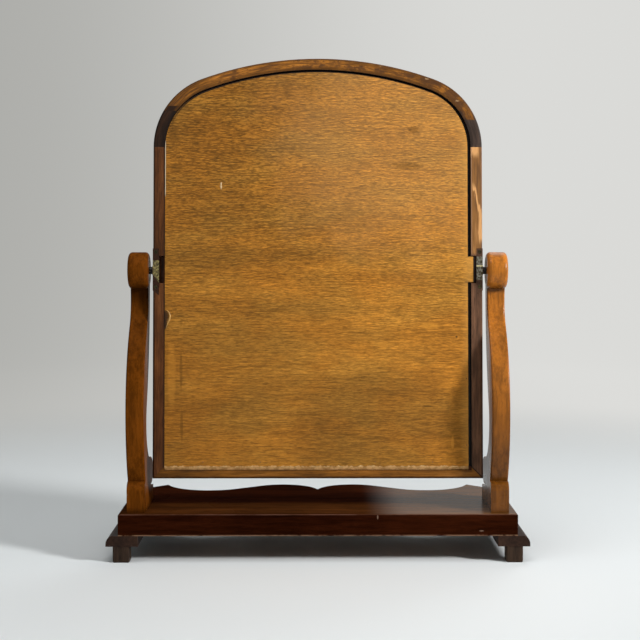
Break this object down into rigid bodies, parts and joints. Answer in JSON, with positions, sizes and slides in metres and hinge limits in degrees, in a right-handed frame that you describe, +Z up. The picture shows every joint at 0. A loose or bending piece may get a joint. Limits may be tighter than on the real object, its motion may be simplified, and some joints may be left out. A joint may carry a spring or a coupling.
{
  "type": "dressing table mirror",
  "caption": "Arched swing mirror in a moulded wooden frame, pivoted between S-scroll supports on a serpentine-fronted platform with moulded side rails and block feet.",
  "frame": {"origin": "centre of the bounding box at the level of the feet's undersides", "axes": "+X to the right as seen from the glass side, +Y towards the back, +Z up"},
  "size_m": [0.595, 0.241, 0.7114],
  "materials": {
    "platform_wood": "glossy, dark",
    "rail_wood": "satin, worn",
    "foot_wood": "dull, worn",
    "support_wood": "glossy",
    "frame_wood": "satin, worn",
    "board_wood": "dry, unpolished",
    "pale_wood": "raw",
    "silvered_glass": "silvered",
    "brass": "dull, tarnished",
    "brass_screws": "tarnished",
    "iron": "blackened",
    "washer_leather": "worn"
  },
  "bodies": {
    "stand": {"platform_board": "platform_wood", "foot_rail_left": "rail_wood", "foot_rail_right": "rail_wood", "foot_block_front_left": "foot_wood", "foot_block_front_right": "foot_wood", "foot_block_back_left": "foot_wood", "foot_block_back_right": "foot_wood", "rail_screws": "iron", "support_left": "support_wood", "support_right": "support_wood", "support_screws": "iron", "pivot_plate_left": "brass", "pivot_plate_right": "brass", "pivot_plate_screws": "brass_screws", "pivot_stud_left": "iron", "pivot_stud_right": "iron"},
    "mirror": {"frame_stile_left": "frame_wood", "frame_stile_right": "frame_wood", "frame_shoulder_left": "frame_wood", "frame_shoulder_right": "frame_wood", "frame_crown": "frame_wood", "frame_bottom_rail": "frame_wood", "frame_dowels": "pale_wood", "mirror_glass": "silvered_glass", "glass_wedges": "pale_wood", "backboard": "board_wood", "backboard_brads": "iron", "socket_plate_left": "brass", "socket_plate_right": "brass", "socket_plate_screws": "brass_screws", "friction_washer_left": "washer_leather", "friction_washer_right": "washer_leather"}
  },
  "joints": [
    {"name": "mirror_tilt", "type": "hinge", "parent": "stand", "child": "mirror", "pos_m": [0, 0.046, 0.4075], "axis": [1, 0, 0], "continuous": true}
  ]
}
